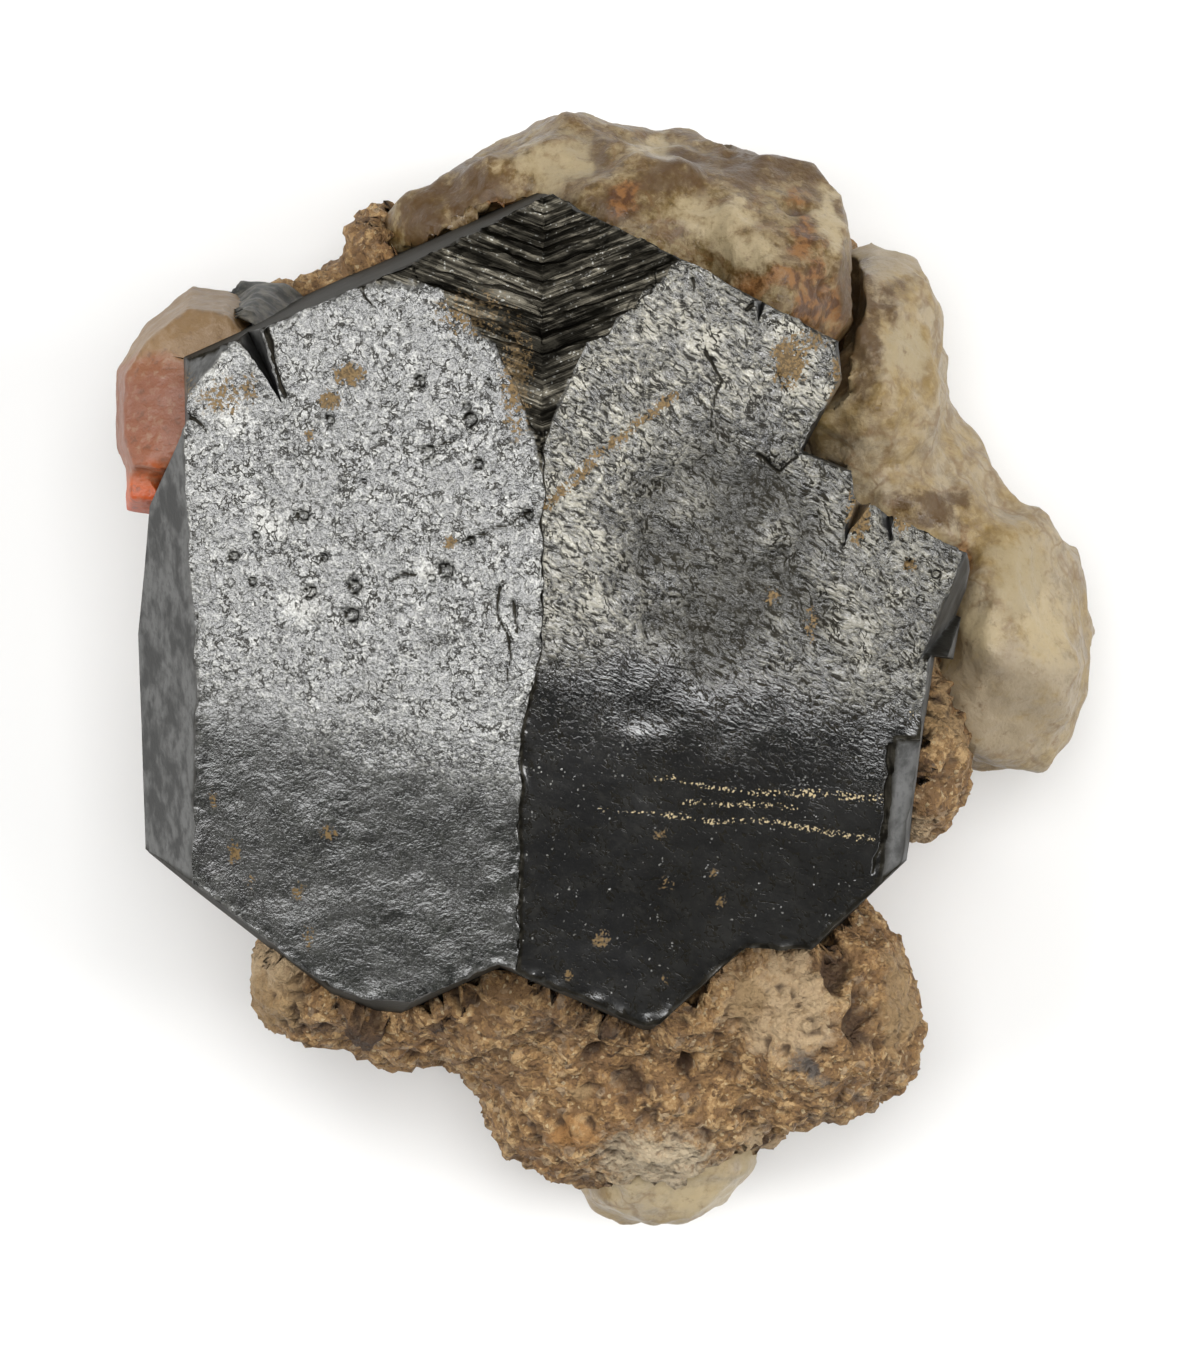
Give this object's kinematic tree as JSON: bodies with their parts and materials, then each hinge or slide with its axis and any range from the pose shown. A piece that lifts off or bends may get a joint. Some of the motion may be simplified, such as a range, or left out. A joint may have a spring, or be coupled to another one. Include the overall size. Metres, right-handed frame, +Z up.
{
  "type": "twinned cassiterite crystal on matrix",
  "caption": "Elbow-twinned grey-black cassiterite crystal with a chevron-stepped notch, set in brown quartz-rich greisen with a small reddish crystal at its side.",
  "frame": {"origin": "centre of the specimen's footprint box, on the plane of its trimmed flat underside", "axes": "+Z up, out of the flat underside and towards the twin's two big prism faces; +Y from the quartz tip towards the notched top of the twin; +X to the right as seen from above with the notch away from the viewer"},
  "size_m": [0.0306, 0.035, 0.0226],
  "materials": {
    "cassiterite": "sub-metallic to adamantine, etched and striated",
    "orange": "vitreous, translucent",
    "honey_quartz": "vitreous where broken, iron-stained",
    "pale_quartz": "vitreous where broken, cloudy",
    "greisen": "dull, granular and pitted"
  },
  "bodies": {
    "root": {"cassiterite_twin": "cassiterite", "small_cassiterite": "cassiterite", "orange_crystal": "orange", "quartz_back": "honey_quartz", "quartz_right": "pale_quartz", "quartz_foot": "pale_quartz", "matrix": "greisen"}
  },
  "joints": []
}
